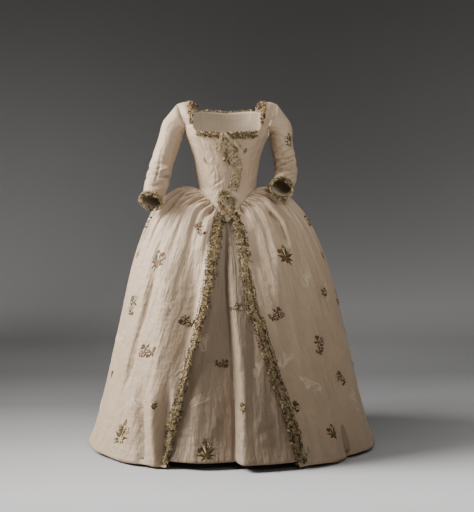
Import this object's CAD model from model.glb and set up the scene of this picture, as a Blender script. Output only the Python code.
import math

import bpy
import numpy as np
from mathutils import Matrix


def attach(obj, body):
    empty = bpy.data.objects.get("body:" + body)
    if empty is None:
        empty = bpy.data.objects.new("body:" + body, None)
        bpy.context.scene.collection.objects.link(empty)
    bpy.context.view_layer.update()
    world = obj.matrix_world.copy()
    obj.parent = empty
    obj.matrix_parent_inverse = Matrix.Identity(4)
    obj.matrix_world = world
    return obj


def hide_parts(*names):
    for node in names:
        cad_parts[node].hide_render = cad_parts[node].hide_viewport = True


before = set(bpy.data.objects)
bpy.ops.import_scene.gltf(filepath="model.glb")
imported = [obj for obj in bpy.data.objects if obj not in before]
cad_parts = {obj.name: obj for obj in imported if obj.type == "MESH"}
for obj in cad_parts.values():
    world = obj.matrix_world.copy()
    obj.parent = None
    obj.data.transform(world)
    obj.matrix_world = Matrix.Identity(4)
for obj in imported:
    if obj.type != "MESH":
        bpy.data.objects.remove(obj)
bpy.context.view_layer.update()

# ------------------------------------------------------------------ sizes of the gown, in mm
# The frame's own tables, repeated: heights are above the wearer's waist, -y is the front. Two
# differ on purpose: the petticoat's hollow is deeper, and wider towards the wearer's right, and the
# left sleeve's head is up to 6 mm flatter.
HEM = -960.0
PETTICOAT_HEM = -944.0
PETTICOAT_INSET = 15.0
SKIRT_SHIFT = 16.0
PLEATS_A_SIDE = 16
POINT_FADE = 300.0
WAIST_EASE = 1.4
SIDE_SEAM_ANGLE = 92.0
FLOOR = -970.0
SILK_THICKNESS = 0.9
BODICE_THICKNESS = 1.6

BODY = {
    "height": [-130, -108, -82, -56, -38, -15, 0, 64, 112, 154, 200, 240, 300],
    "half": [168, 160, 148, 136, 127, 116, 110, 117, 125, 139, 156, 164, 160],
    "front": [132, 124, 114, 106, 101, 95, 92, 101, 111, 122, 131, 128, 104],
    "back": [150, 138, 122, 109, 101, 92, 88, 90, 96, 102, 107, 108, 98],
}
WAIST_EDGE = {
    "angle": [0, 5, 9, 14, 24, 33, 52, 75, 92, 115, 140, 160, 180],
    "height": [-124, -118, -103, -82, -55, -37, -15, -2, 0, -3, -14, -30, -44],
}
TOP_EDGE = {
    "angle": [0, 30, 44, 50, 60, 70, 76, 84, 92, 98, 105, 112, 119, 130, 142, 160, 180],
    "height": [203, 204, 208, 221, 230, 235, 220, 199, 190, 199, 222, 252, 280, 288, 292, 290, 286],
}
CLOSING = {
    "height": [-124, -60, 0, 60, 110, 160, 204],
    "x": [3, 8, 18, 21, 6, -6, -10],
}
BACK_SEAM = {
    "height": [-45, 40, 130, 220, 300],
    "angle": [168, 163, 154, 145, 140],
}
# The skirt's rings, waist to hem: height at the sides and in front, half width, depth behind, step
# out from the bodice in front, and depth of the pleats and of the broad folds.
LOWER_RINGS = [-103, -187, -297, -449, -600, -760, -900, HEM]
SKIRT = {
    "side": [0, 4, 0, -14, -42, *LOWER_RINGS],
    "fall": [0, -4, -10, -22, -46, *LOWER_RINGS],
    "half": [112, 150, 188, 217, 247, 291, 331, 371, 409, 444, 480, 518, 543],
    "back": [90, 128, 172, 220, 268, 332, 374, 408, 436, 456, 478, 500, 512],
    "step": [1.5, 5, 9, 12, 14, 15, 15, 15, 15, 15, 15, 15, 15],
    "pleat": [0, 3.6, 5, 6, 7, 6.5, 4.5, 2.5, 1, 0, 0, 0, 0],
    "fold": [0, 0, 0, 0, 0, 1, 2.5, 4.5, 7, 9, 11, 12, 13],
}
LAST_RING = len(SKIRT["side"]) - 1
FRONT_LINE = {
    "height": [HEM, -900, -760, -600, -449, -297, -187, -130, -108, -82, -56, -38, -15, 4],
    "depth": [465, 434, 382, 326, 272, 206, 157, 132, 124, 114, 106, 101, 95, 92],
}
OPENING = {
    "height": [HEM, -860, -760, -640, -520, -400, -300, -200, -110, -90],
    "right": [216, 190, 165, 136, 98, 66, 46, 30, 20, 18],
    "left": [252, 224, 190, 150, 110, 72, 56, 44, 24, 22],
}
PETTICOAT_FOLDS = {
    "ring": [0, 5, 7, 8, 9, 10, 12],
    "hollow": [-10, -12, -14, -2, 14, 25, 27],
    "hollow_depth": [0, 8, 24, 40, 52, 58, 54],
    "ridge": [8, 12, 18, 36, 48, 54, 60],
    "ridge_height": [0, 1, 3, 6, 8, 9, 7],
}
HOLLOW_LEFT, HOLLOW_RIGHT = 118.0, 17.0
RIDGE_WIDTH = 22.0
SLEEVES = {
    "right": {
        "x": [-197, -206, -214, -225, -240, -252, -262, -271, -279],
        "y": [3, 2, 0, -3, -12, -27, -48, -73, -96],
        "z": [231, 213, 188, 152, 104, 60, 20, -14, -40],
        "across": [48, 46, 44, 43, 43, 45, 45, 42, 39],
        "deep": [48, 49, 49, 48, 47, 47, 45, 42, 40],
    },
    "left": {
        "x": [196, 203, 205, 208, 216, 221, 220, 212, 202],
        "y": [4, 3, 1, -1, -5, -15, -38, -70, -102],
        "z": [229, 213, 186, 152, 110, 72, 42, 22, 6],
        "across": [47, 45, 43, 43, 43, 44, 43, 40, 38],
        "deep": [42, 46, 48, 48, 47, 46, 44, 41, 39],
    },
}
STRAP = {
    "in": [(128, -76, 256), (133, -50, 290), (135, -14, 316), (130, 22, 321), (118, 52, 308)],
    "out": [(170, -42, 268), (180, -24, 297), (187, 0, 314), (183, 22, 313), (168, 42, 298)],
}
STRAP_FRONT = (50.0, 70.0)
STRAP_BACK = (138.0, 120.0)
STRAP_LIFT = 1.1
ARMHOLE_EASE = 2.0
# The broad folds: waves round the skirt, height as a share of the ring's fold, and phase.
BROAD_FOLDS = [(5, 0.5, 0.6), (9, 0.32, 2.1), (14, 0.22, 4.0)]
UP_LEAN = 160.0
LEAST_AREA = 0.31
SIDES = (("right", -1.0), ("left", 1.0))


# ------------------------------------------------------------------ curves and forms
def line(keys, values):
    """A smooth monotone curve through (key, value): cubic pieces whose end slopes are the harmonic
    mean of the neighbouring chords, level where the chords change sign."""
    order = np.argsort(keys)
    k = np.asarray(keys, float)[order]
    v = np.asarray(values, float)[order]
    chord = np.diff(v) / np.diff(k)
    slopes = np.empty_like(v)
    slopes[0], slopes[-1] = chord[0], chord[-1]
    before, after = chord[:-1], chord[1:]
    both = before + after
    mean = 2 * before * after / np.where(both == 0, 1, both)
    slopes[1:-1] = np.where(before * after <= 0, 0, mean)

    def curve(x):
        at = np.clip(x, k[0], k[-1])
        i = np.clip(np.searchsorted(k, at, side="left"), 1, len(k) - 1)
        span = k[i] - k[i - 1]
        t = (at - k[i - 1]) / span
        blend = t * t * (3 - 2 * t)
        value = v[i - 1] + (v[i] - v[i - 1]) * blend
        return value + span * (t * (1 - t) ** 2 * slopes[i - 1] + t * t * (t - 1) * slopes[i])

    return curve


def smooth(x, low, high):
    """0 below low, 1 above high, 3t^2 - 2t^3 between."""
    t = np.clip((x - low) / (high - low), 0, 1)
    return t * t * (3 - 2 * t)


def bump(x):
    """exp(-x^2)."""
    return np.exp(-x * x)


def mix(a, b, t):
    """a where t is 0, b where it is 1, straight between."""
    return a + (b - a) * t


def unit(v):
    """Vectors in the last axis, made one long."""
    return v / np.maximum(np.linalg.norm(v, axis=-1, keepdims=True), 1e-9)


def path_lengths(points, axis=0):
    """The length from the first point to each one, along one axis of a grid."""
    steps = np.linalg.norm(np.diff(points, axis=axis), axis=-1)
    return np.insert(np.cumsum(steps, axis=axis), 0, 0, axis=axis)


def spline(points):
    """A Catmull-Rom curve through the points, with mirrored end points; its parameter is 0 to 1."""
    p = np.asarray(points, float)
    p = np.vstack([2 * p[0] - p[1], p, 2 * p[-1] - p[-2]])

    def curve(t):
        s = np.clip(np.asarray(t, float), 0, 1) * (len(p) - 3)
        i = np.minimum(s.astype(int), len(p) - 4)
        f = (s - i)[..., None]
        a, b, c, d = p[i], p[i + 1], p[i + 2], p[i + 3]
        return 0.5 * (2 * b + (c - a) * f + (2 * a - 5 * b + 4 * c - d) * f**2
                      + (3 * b - a - 3 * c + d) * f**3)

    return curve


body_half = line(BODY["height"], BODY["half"])
body_front = line(BODY["height"], BODY["front"])
body_back = line(BODY["height"], BODY["back"])
waist_edge = line(WAIST_EDGE["angle"], WAIST_EDGE["height"])
top_edge = line(TOP_EDGE["angle"], TOP_EDGE["height"])
closing_x = line(CLOSING["height"], CLOSING["x"])
back_seam = line(BACK_SEAM["height"], BACK_SEAM["angle"])
front_line = line(FRONT_LINE["height"], FRONT_LINE["depth"])
ring = {name: line(range(LAST_RING + 1), values) for name, values in SKIRT.items()}
opening = {side: line(OPENING["height"], OPENING[side]) for side, _ in SIDES}
hollow = {name: line(PETTICOAT_FOLDS["ring"], values) for name, values in PETTICOAT_FOLDS.items()
          if name != "ring"}


def body_point(angle, height):
    """A point of the fitted body: half ellipses in front and behind, turned by angle degrees from
    the centre front towards the wearer's left."""
    turn = np.radians(angle)
    depth = np.where(np.cos(turn) > 0, body_front(height), body_back(height))
    x = body_half(height) * np.sin(turn)
    y = -depth * np.cos(turn)
    return np.stack([x, y, height + 0 * x], axis=-1)


def skirt_form(angle, level, inset=0.0):
    """A point of the skirt's smooth form: ellipses whose halves and height follow the ring table by
    level, and whose front hangs from the bodice's point."""
    turn = np.radians(angle)
    away = np.minimum(np.abs(angle), 360 - np.abs(angle))
    sideways = smooth(away, 20, 80)
    top = waist_edge(away)
    fall = mix(ring["fall"](level), ring["side"](level), sideways)
    fade = 1 - np.clip(-fall / POINT_FADE, 0, 1)
    lowered = inset * (1 - smooth(-fall, 60, 320)) * sideways
    height = fall + top * fade - lowered
    start = np.clip(level, 0, 1)
    low = np.maximum(level, 1)
    half = mix(body_half(top) + WAIST_EASE, ring["half"](low), start) - inset
    back = mix(body_back(top) + WAIST_EASE, ring["back"](low), start) - inset
    front = front_line(height) + ring["step"](level) - inset
    depth = np.where(np.cos(turn) > 0, front, back)
    x = half * np.sin(turn) + SKIRT_SHIFT * smooth(level, 3, 9)
    return np.stack([x, -depth * np.cos(turn), height], axis=-1)


def facing(form, u, v, du, dv):
    """The direction a form faces: the cross product of two short steps over it."""
    across = form(u + du, v) - form(u - du, v)
    down = form(u, v + dv) - form(u, v - dv)
    return unit(np.cross(across, down))


def turned_out(normals, away):
    """Normals flipped where they point against the directions in away."""
    flip = np.sum(normals * away, axis=-1, keepdims=True) < 0
    return np.where(flip, -normals, normals)


def out_from_axis(points):
    """Level directions away from the upright axis."""
    return unit(points * np.array([1.0, 1.0, 0.0]))


def up_and_out(points):
    """Directions away from the axis that lean up, most where the points are near it."""
    return unit(np.concatenate([points[..., :2], np.full_like(points[..., :1], UP_LEAN)], axis=-1))


def broad_folds(turn):
    """The sum of the sines in BROAD_FOLDS at a turn round the skirt."""
    return sum(share * np.sin(waves * turn + start) for waves, share, start in BROAD_FOLDS)


def creases(points, table):
    """How far soft troughs and ridges move the points: for each row, a bell across the straight
    line from (x0, z0) to (x1, z1), fading at both ends. Height is below zero for a trough."""
    x, z = points[..., 0], points[..., 2]
    total = np.zeros_like(x)
    for x0, z0, x1, z1, width, height in table:
        length = math.hypot(x1 - x0, z1 - z0)
        ax, az = (x1 - x0) / length, (z1 - z0) / length
        along = ((x - x0) * ax + (z - z0) * az) / length
        aside = (x - x0) * az - (z - z0) * ax
        ends = smooth(along, -0.12, 0.3) * (1 - smooth(along, 0.65, 1.12))
        total += height * ends * bump(aside / width)
    return total


# ------------------------------------------------------------------ cloth
class Cloth:
    """A sheet's grid of points [column, row, xyz] in mm with its normals, and places on it."""

    def __init__(self, points, away, closed=False):
        self.points = points
        self.closed = closed
        if closed:
            ends = np.concatenate([points[-1:], points, points[:1]])
            across = ends[2:] - ends[:-2]
        else:
            across = np.gradient(points, axis=0)
        down = np.gradient(points, axis=1)
        self.normals = turned_out(unit(np.cross(across, down)), away)

    def place(self, u, v):
        """The points and normals at columns u and rows v, between grid points by their shares."""
        columns, rows = self.points.shape[:2]
        top = columns if self.closed else columns - 1
        i = np.clip(np.floor(u).astype(int), 0, top - 1)
        j = np.clip(np.floor(v).astype(int), 0, rows - 2)
        a, b = (np.asarray(u) - i)[..., None], (np.asarray(v) - j)[..., None]
        k = (i + 1) % columns

        def sample(grid):
            return mix(mix(grid[i, j], grid[k, j], a), mix(grid[i, j + 1], grid[k, j + 1], a), b)

        return sample(self.points), unit(sample(self.normals))

    def columns_at(self, v, distance):
        """For each row v, the column that lies distance mm from the first, past it if below 0."""
        u = np.arange(self.points.shape[0], dtype=float)
        grid, _ = self.place(u[:, None] + 0 * v[None, :], np.broadcast_to(v, (len(u), len(v))))
        lengths = path_lengths(grid)
        found = [np.interp(d, lengths[:, n], u) if d >= 0 else d / lengths[1, n]
                 for n, d in enumerate(np.broadcast_to(distance, v.shape))]
        return np.array(found)


def mesh_piece(name, verts, faces, material, uv=None, tint=None, smooth_faces=True):
    """A mesh object from vertices in mm and a list of face arrays, each [count, corners]."""
    mesh = bpy.data.meshes.new(name)
    corners = np.concatenate([f.ravel() for f in faces]).astype(np.int32)
    sizes = np.concatenate([np.full(len(f), f.shape[1]) for f in faces]).astype(np.int32)
    mesh.vertices.add(len(verts))
    mesh.vertices.foreach_set("co", (np.asarray(verts) * 0.001).astype(np.float32).ravel())
    mesh.loops.add(len(corners))
    mesh.loops.foreach_set("vertex_index", corners)
    mesh.polygons.add(len(sizes))
    starts = np.concatenate([[0], np.cumsum(sizes)[:-1]]).astype(np.int32)
    mesh.polygons.foreach_set("loop_start", starts)
    mesh.polygons.foreach_set("use_smooth", np.full(len(sizes), smooth_faces))
    if uv is not None:
        layer = mesh.uv_layers.new(name="cloth")
        layer.data.foreach_set("uv", uv[corners].astype(np.float32).ravel())
    if tint is not None:
        colours = mesh.attributes.new("tint", "FLOAT_COLOR", "POINT")
        rgba = np.concatenate([tint, np.ones((len(tint), 1))], axis=1)
        colours.data.foreach_set("color", rgba.astype(np.float32).ravel())
    mesh.update(calc_edges=True)
    mesh.validate()
    piece = bpy.data.objects.new(name, mesh)
    bpy.context.scene.collection.objects.link(piece)
    mesh.materials.append(material)
    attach(piece, "root")
    return piece


def wall_faces(columns, rows, closed):
    """Faces of two stacked grids [layer, column, row] joined round their rims."""
    last = columns if closed else columns - 1
    i, j = np.meshgrid(np.arange(last), np.arange(rows - 1), indexing="ij")

    def at(layer, a, b):
        return layer * columns * rows + (a % columns) * rows + b

    def quads(*corners):
        return np.stack([c.ravel() for c in corners], axis=1)

    outer = quads(at(0, i, j), at(0, i + 1, j), at(0, i + 1, j + 1), at(0, i, j + 1))
    inner = quads(at(1, i, j), at(1, i, j + 1), at(1, i + 1, j + 1), at(1, i + 1, j))
    c = np.arange(last)
    top, end = 0 * c, rows - 1 + 0 * c
    rims = [quads(at(0, c, top), at(1, c, top), at(1, c + 1, top), at(0, c + 1, top)),
            quads(at(0, c, end), at(0, c + 1, end), at(1, c + 1, end), at(1, c, end))]
    if not closed:
        r = np.arange(rows - 1)
        near, far = 0 * r, columns - 1 + 0 * r
        rims += [quads(at(0, near, r), at(0, near, r + 1), at(1, near, r + 1), at(1, near, r)),
                 quads(at(0, far, r), at(1, far, r), at(1, far, r + 1), at(0, far, r + 1))]
    return np.concatenate([outer, inner, *rims])


def cloth_uv(cloth, row):
    """Cloth coordinates in mm: across by one row's width, down by the length of each column."""
    across = path_lengths(cloth.points[:, row])
    down = path_lengths(cloth.points, axis=1)
    down = down[:, -1:] - down
    return np.stack([np.broadcast_to(across[:, None], down.shape), down], axis=-1)


def declare(cloth):
    points = cloth.points
    ends = points if not cloth.closed else np.concatenate([points, points[:1]])
    across = np.diff(ends, axis=0)[:, :-1]
    down = np.diff(ends, axis=1)[:-1]
    area = np.linalg.norm(np.cross(across, down), axis=-1).sum() * 1e-6
    wide, long = path_lengths(ends)[-1].max(), path_lengths(points, axis=1)[:, -1].max()
    flat = (round(wide * 0.001, 3), round(long * 0.001, 3))
    area = min(max(area, LEAST_AREA * flat[0] * flat[1]), flat[0] * flat[1])


cloths = {}


def cloth_piece(name, cloth, thickness=SILK_THICKNESS, slot="gown_silk",
                width_row=None, lining=None):
    """A sheet as a closed wall: the cloth's points, and the same points a thickness behind them.
    The cloth coordinates take their width from width_row, or from the middle row."""
    cloths[name] = cloth
    outer = cloth.points
    inner = outer - thickness * cloth.normals
    columns, rows = outer.shape[:2]
    middle = rows // 2
    faces = wall_faces(columns, rows, cloth.closed)
    across = outer[1, middle] - outer[0, middle]
    down = outer[0, middle + 1] - outer[0, middle]
    if np.dot(np.cross(across, down), cloth.normals[0, middle]) < 0:
        faces = faces[:, ::-1]
    verts = np.concatenate([outer.reshape(-1, 3), inner.reshape(-1, 3)])
    flat = cloth_uv(cloth, middle if width_row is None else width_row)
    flat = np.concatenate([flat.reshape(-1, 2)] * 2) * 0.001
    piece = mesh_piece(name, verts, [faces], SILKS[slot], uv=flat)
    if lining:
        piece.data.materials.append(lining)
        side = (columns if cloth.closed else columns - 1) * (rows - 1)
        which = np.zeros(len(faces), dtype=np.int32)
        which[side:2 * side] = 1
        piece.data.polygons.foreach_set("material_index", which)
    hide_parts(name)
    declare(cloth)


# ------------------------------------------------------------------ finishes
def new_material(name):
    """A material and its emptied node tree."""
    material = bpy.data.materials.new(name)
    material.use_nodes = True
    material.node_tree.nodes.clear()
    return material, material.node_tree


def add(tree, kind, inputs=None, **settings):
    """A node with its settings. Each input gets a constant, or a link from an output."""
    node = tree.nodes.new(kind)
    for key, value in settings.items():
        setattr(node, key, value)
    for key, value in (inputs or {}).items():
        if isinstance(value, bpy.types.NodeSocket):
            tree.links.new(value, node.inputs[key])
        else:
            node.inputs[key].default_value = value
    return node


def maths(tree, operation, *values):
    """The result of a maths operation on constants or outputs."""
    return add(tree, "ShaderNodeMath", dict(enumerate(values)), operation=operation).outputs[0]


def shaded(tree, colour, factor):
    """A colour times a factor."""
    values = {0: colour, "Scale": factor}
    return add(tree, "ShaderNodeVectorMath", values, operation="SCALE").outputs[0]


def surface(tree, colour, values):
    """The material's principled surface in a colour, and its output."""
    shader = add(tree, "ShaderNodeBsdfPrincipled", {"Base Color": colour, **values})
    add(tree, "ShaderNodeOutputMaterial", {0: shader.outputs[0]})


def group_tree(name, inputs, outputs):
    """A node group and its sockets: an input is (name, kind, default), an output (name, kind)."""
    tree = bpy.data.node_groups.new(name, "ShaderNodeTree")
    for label, kind, value in inputs:
        socket = tree.interface.new_socket(label, in_out="INPUT", socket_type=f"NodeSocket{kind}")
        if value is not None:
            socket.default_value = value
    for label, kind in outputs:
        tree.interface.new_socket(label, in_out="OUTPUT", socket_type=f"NodeSocket{kind}")
    return tree, tree.nodes.new("NodeGroupInput").outputs, tree.nodes.new("NodeGroupOutput").inputs


def ribbed_silk_group():
    """Fine crosswise ribs with slubs, warp streaks and faint blotches; gives a shade factor round
    1, a height, and the height of the small rumples of worn silk."""
    tree, given, out = group_tree(
        "ribbed_silk", [("Coordinates", "Vector", None), ("Ribs", "Float", 900.0)],
        [("Shade", "Float"), ("Height", "Float"), ("Crumple", "Float")])

    def streaks(scale_x, scale_y, detail):
        """Noise stretched by the two scales."""
        stretch = add(tree, "ShaderNodeMapping",
                      {"Vector": given["Coordinates"], "Scale": (scale_x, scale_y, 1)})
        values = {"Vector": stretch.outputs[0], "Scale": 1.0, "Detail": detail}
        return add(tree, "ShaderNodeTexNoise", values, noise_dimensions="2D").outputs[0]

    def weighted(base, value, weight):
        """base + weight (value - 0.5)."""
        return maths(tree, "MULTIPLY_ADD", maths(tree, "SUBTRACT", value, 0.5), weight, base)

    shade = weighted(1.0, streaks(420, 9, 3), 0.16)
    shade = weighted(shade, streaks(30, 700, 3), 0.14)
    shade = weighted(shade, streaks(14, 11, 4), 0.2)
    height = weighted(0.5, streaks(60, 1300, 2), 0.8)
    rumple = weighted(0.5, streaks(26, 7, 3), 1.0)
    rumple = weighted(rumple, streaks(16, 38, 4), 0.45)
    down = add(tree, "ShaderNodeSeparateXYZ", {0: given["Coordinates"]}).outputs["Y"]
    wave = maths(tree, "SINE", maths(tree, "MULTIPLY", down, given["Ribs"]))
    rib = maths(tree, "MULTIPLY_ADD", wave, 0.3, height)
    for label, value in (("Shade", shade), ("Height", rib), ("Crumple", rumple)):
        tree.links.new(value, out[label])
    return tree


def mottle_group():
    """A colour times a factor from Low to High that follows a noise on the object's coordinates;
    gives the colour and the noise."""
    tree, given, out = group_tree(
        "mottle", [("Colour", "Vector", None), ("Scale", "Float", 1.0), ("Detail", "Float", 2.0),
                   ("Low", "Float", 0.9), ("High", "Float", 1.1)],
        [("Colour", "Vector"), ("Noise", "Float")])
    place = add(tree, "ShaderNodeTexCoord").outputs["Object"]
    values = {"Vector": place, "Scale": given["Scale"], "Detail": given["Detail"]}
    noise = add(tree, "ShaderNodeTexNoise", values).outputs[0]
    values = {0: noise, "To Min": given["Low"], "To Max": given["High"]}
    factor = add(tree, "ShaderNodeMapRange", values).outputs[0]
    tree.links.new(shaded(tree, given["Colour"], factor), out["Colour"])
    tree.links.new(noise, out["Noise"])
    return tree


def silk_material(name, colour, roughness=0.58, sheen=0.12, rumple=1.0):
    """Ribbed silk on the piece's own cloth coordinates, its rumples 9 mm and its ribs 0.4 mm."""
    material, tree = new_material(name)
    where = add(tree, "ShaderNodeUVMap", uv_map="cloth").outputs[0]
    weave = add(tree, "ShaderNodeGroup", {"Coordinates": where}, node_tree=RIBBED_SILK).outputs
    values = {"Strength": rumple, "Distance": 0.009, "Height": weave["Crumple"]}
    rumples = add(tree, "ShaderNodeBump", values).outputs[0]
    values = {"Strength": 0.25, "Distance": 0.0004, "Height": weave["Height"], "Normal": rumples}
    ribs = add(tree, "ShaderNodeBump", values).outputs[0]
    surface(tree, shaded(tree, colour, weave["Shade"]), {
        "Normal": ribs, "Roughness": roughness, "Specular IOR Level": 0.3,
        "Sheen Weight": sheen, "Sheen Roughness": 0.4, "Sheen Tint": (1.0, 0.95, 0.88, 1)})
    return material


def mottled(tree, colour, scale, detail, low, high):
    """The outputs of a mottle group on a colour."""
    values = {"Colour": colour, "Scale": scale, "Detail": detail, "Low": low, "High": high}
    return add(tree, "ShaderNodeGroup", values, node_tree=MOTTLE).outputs


def floss_material(name):
    """Untwisted silk floss: each strand's own tint, darker in its fine hollows."""
    material, tree = new_material(name)
    tint = add(tree, "ShaderNodeAttribute", attribute_name="tint").outputs["Color"]
    strands = mottled(tree, tint, 900.0, 2.0, 0.7, 1.3)
    values = {"Strength": 0.3, "Distance": 0.0005, "Height": strands["Noise"]}
    surface(tree, strands["Colour"], {
        "Normal": add(tree, "ShaderNodeBump", values).outputs[0], "Roughness": 0.55,
        "Specular IOR Level": 0.14, "Sheen Weight": 0.04})
    return material


def paper_material(name, tones):
    """Matt paper, graded from pale underfoot to dark high up the back: its tone follows y + z in
    metres by the table, with a faint mottle."""
    material, tree = new_material(name)
    place = add(tree, "ShaderNodeTexCoord").outputs["Object"]
    parts = add(tree, "ShaderNodeSeparateXYZ", {0: place}).outputs
    total = maths(tree, "ADD", parts["Y"], parts["Z"])
    first, last = tones[0][0], tones[-1][0]
    values = {0: total, "From Min": first, "From Max": last}
    spread = add(tree, "ShaderNodeMapRange", values).outputs[0]
    ramp = add(tree, "ShaderNodeValToRGB", {0: spread})
    stops = ramp.color_ramp.elements
    while len(stops) < len(tones):
        stops.new(0.5)
    for stop, (at, tone) in zip(stops, tones):
        stop.position = (at - first) / (last - first)
        stop.color = (tone, tone * 0.985, tone * 0.975, 1)
    colour = mottled(tree, ramp.outputs[0], 3.0, 3.0, 0.98, 1.02)["Colour"]
    surface(tree, colour, {"Roughness": 0.9, "Specular IOR Level": 0.1})
    return material


RIBBED_SILK = ribbed_silk_group()
MOTTLE = mottle_group()
LINEN = silk_material("natural_linen_lining", (0.37, 0.295, 0.21), roughness=0.85, sheen=0.05,
                      rumple=0.3)
SILKS = {
    "gown_silk": silk_material("taupe_ribbed_silk", (0.395, 0.286, 0.188)),
    "petticoat_silk": silk_material("taupe_petticoat_silk", (0.256, 0.186, 0.121)),
}
FLOSS = floss_material("silk_floss")

# ------------------------------------------------------------------ bodice
# Creases on the bodice fronts, the sleeves, the skirt and the petticoat are rows of x and height at
# both ends, width and height in mm, below zero for a trough.
FRONT_CREASES = [
    (-40, 78, -62, 44, 4, -2.6), (-30, 90, -50, 62, 4, 1.6), (-12, 36, -52, 6, 4.5, -3),
    (-18, 22, -60, -6, 5, 1.8), (-48, 120, -66, 84, 6, 1.4), (70, 150, 46, 70, 7, -1.2),
    (88, 120, 70, 20, 8, 1.2), (-96, 150, -78, 30, 9, -1.3),
]
SEAM_DIP = 0.7
SEAM_SHARE = 0.025


def bodice_panel(name, sign, first, last, from_line, to_line, columns, rows):
    """A panel between two lines of angles and from the waist edge to the top edge, dipping by
    SEAM_DIP exp(-(share / SEAM_SHARE)^2) at both seams."""
    share = np.linspace(0, 1, columns)[:, None]
    t = np.linspace(0, 1, rows)[None, :]
    angle = mix(first, last, share)
    near = mix(waist_edge(angle), top_edge(angle), t)
    turned = mix(from_line(near), to_line(near), share)
    away = np.abs(turned)
    height = mix(waist_edge(away), top_edge(away), t)
    points = body_point(sign * turned, height)
    normals = turned_out(facing(body_point, sign * turned, height, 0.5, 1.0), out_from_axis(points))
    edge = smooth(share, 0, 0.03) * (1 - smooth(share, 0.97, 1)) * smooth(t, 0, 0.04)
    depth = creases(points, FRONT_CREASES) if first < SIDE_SEAM_ANGLE else 0
    dip = SEAM_DIP * (bump(share / SEAM_SHARE) + bump((1 - share) / SEAM_SHARE))
    points = points + ((depth * edge) - dip)[..., None] * normals
    cloth_piece(name, Cloth(points, out_from_axis(points)), BODICE_THICKNESS,
                lining=LINEN)


def closing_angle(sign):
    """The angle at which the closing line lies, by height."""
    return lambda height: sign * np.degrees(np.arcsin(closing_x(height) / body_half(height)))


def constant(value):
    """The same angle at every height."""
    return lambda height: value + 0 * height


for side, sign in SIDES:
    seam = constant(SIDE_SEAM_ANGLE)
    for part, first, last, start, end, columns, rows in (
            ("front", 0, SIDE_SEAM_ANGLE, closing_angle(sign), seam, 76, 80),
            ("side_back", SIDE_SEAM_ANGLE, 140, seam, back_seam, 40, 60),
            ("centre_back", 140, 180, back_seam, constant(180.0), 26, 60)):
        bodice_panel(f"bodice_{part}_{side}", sign, first, last, start, end, columns, rows)


# ------------------------------------------------------------------ shoulder straps
STRAP_ROUND = 5.0


def strap_edges(sign):
    """The seam curve by angle, and the strap's inner and outer edges from front to back."""
    def seam(angle):
        return body_point(sign * angle, top_edge(angle) + STRAP_LIFT)

    def edge(part, start, end):
        rows = np.array(STRAP[part], float) * np.array([sign, 1, 1])
        return spline([seam(start), *rows, seam(end)])

    (front_in, front_out), (back_in, back_out) = STRAP_FRONT, STRAP_BACK
    return seam, edge("in", front_in, back_in), edge("out", front_out, back_out)


def shoulder_strap(side, sign):
    """Straight across from edge to edge, and raised by STRAP_ROUND sin(pi t) sin(pi share)."""
    seam, inner_edge, outer_edge = strap_edges(sign)
    share = np.linspace(0, 1, 25)[:, None, None]
    t = np.linspace(0, 1, 60)
    points = mix(inner_edge(t)[None], outer_edge(t)[None], share)
    points[..., 2] += STRAP_ROUND * np.sin(np.pi * t) * np.sin(np.pi * share[..., 0])
    points[:, 0] = seam(mix(*STRAP_FRONT, share[:, 0, 0]))
    points[:, -1] = seam(mix(*STRAP_BACK, share[:, 0, 0]))
    points = points[::-1] if sign > 0 else points
    upward = np.broadcast_to(np.array([sign * 0.5, 0, 1]), points.shape)
    cloth_piece(f"shoulder_strap_{side}", Cloth(points, upward), BODICE_THICKNESS)


for side, sign in SIDES:
    shoulder_strap(side, sign)


# ------------------------------------------------------------------ sleeves
def armhole(sign):
    """The closed curve round an armhole: underarm, front edge, strap, back edge."""
    front = [body_point(sign * a, top_edge(a)) for a in (91.0, 84.0, 77.0, 71.0)]
    over = list(strap_edges(sign)[2](np.array([0.2, 0.4, 0.6, 0.8])))
    back = [body_point(sign * a, top_edge(a)) for a in (118.0, 112.0, 105.0, 98.0)]
    loop = np.array([*front, *over, *back])
    loop += ARMHOLE_EASE * unit(loop * np.array([1, 0.7, 0]))
    wrapped = np.vstack([loop[-2:], loop, loop[:3]])
    whole = spline(wrapped)
    return lambda share: whole((2 + share * len(loop)) / (len(wrapped) - 1))


# Cross creases of each sleeve: where along it, where round it, width, depth in mm, and slant.
SLEEVE_CREASES = {
    "right": [
        (0.16, 0.25, 0.04, -0.9, 0.03), (0.24, 0.1, 0.024, -1.8, 0.05),
        (0.5, 0.2, 0.02, -1.6, -0.06), (0.6, 0.25, 0.018, -3, 0.03),
        (0.66, 0.3, 0.018, -2.6, -0.03), (0.72, 0.25, 0.02, -3.2, 0.02),
        (0.79, 0.2, 0.02, -2.2, -0.04), (0.87, 0.3, 0.02, -1.8, 0.03),
    ],
    "left": [
        (0.14, 0.1, 0.04, -0.9, 0.04), (0.24, 0.15, 0.024, -2, -0.05),
        (0.42, 0.15, 0.018, -2.8, 0.05), (0.5, 0.2, 0.018, -3.6, -0.03),
        (0.565, 0.2, 0.016, -4.2, 0.03), (0.63, 0.22, 0.018, -4.4, -0.03),
        (0.7, 0.2, 0.018, -4, 0.03), (0.78, 0.2, 0.02, -3, -0.03), (0.87, 0.2, 0.02, -2, 0.03),
    ],
}
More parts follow.
